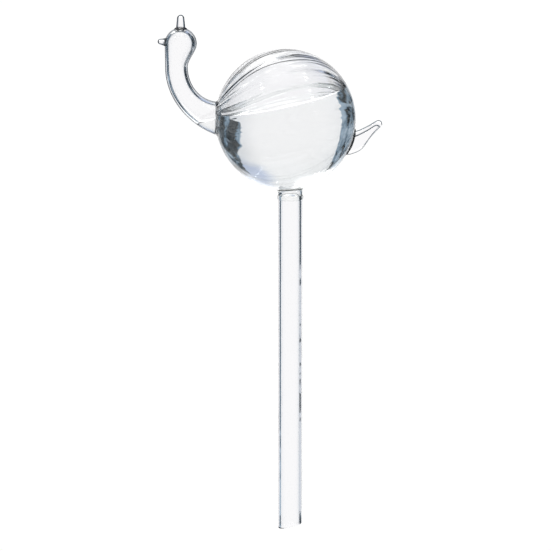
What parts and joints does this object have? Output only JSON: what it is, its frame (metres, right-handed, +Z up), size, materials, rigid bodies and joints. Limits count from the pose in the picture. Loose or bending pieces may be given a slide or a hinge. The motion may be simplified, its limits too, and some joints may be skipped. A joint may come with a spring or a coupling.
{
  "type": "watering globe",
  "caption": "Self-watering glass globe in the shape of a bird, on a long open stem that is pushed into the soil of a plant pot and lets water out slowly.",
  "frame": {"origin": "on the stem's axis at the height of the lowest point of its slanted tip", "axes": "+Z up along the stem to the globe, -X towards the head, +X towards the tail, +Y across"},
  "size_m": [0.1112, 0.07, 0.26],
  "materials": {
    "clear_glass": "clear borosilicate glass, flame polished",
    "water": null
  },
  "bodies": {
    "root": {"globe": "clear_glass", "stem": "clear_glass", "stem_weld": "clear_glass", "neck": "clear_glass", "neck_weld": "clear_glass", "beak": "clear_glass", "crest": "clear_glass", "crest_weld": "clear_glass", "tail": "clear_glass", "tail_weld": "clear_glass"}
  },
  "joints": []
}
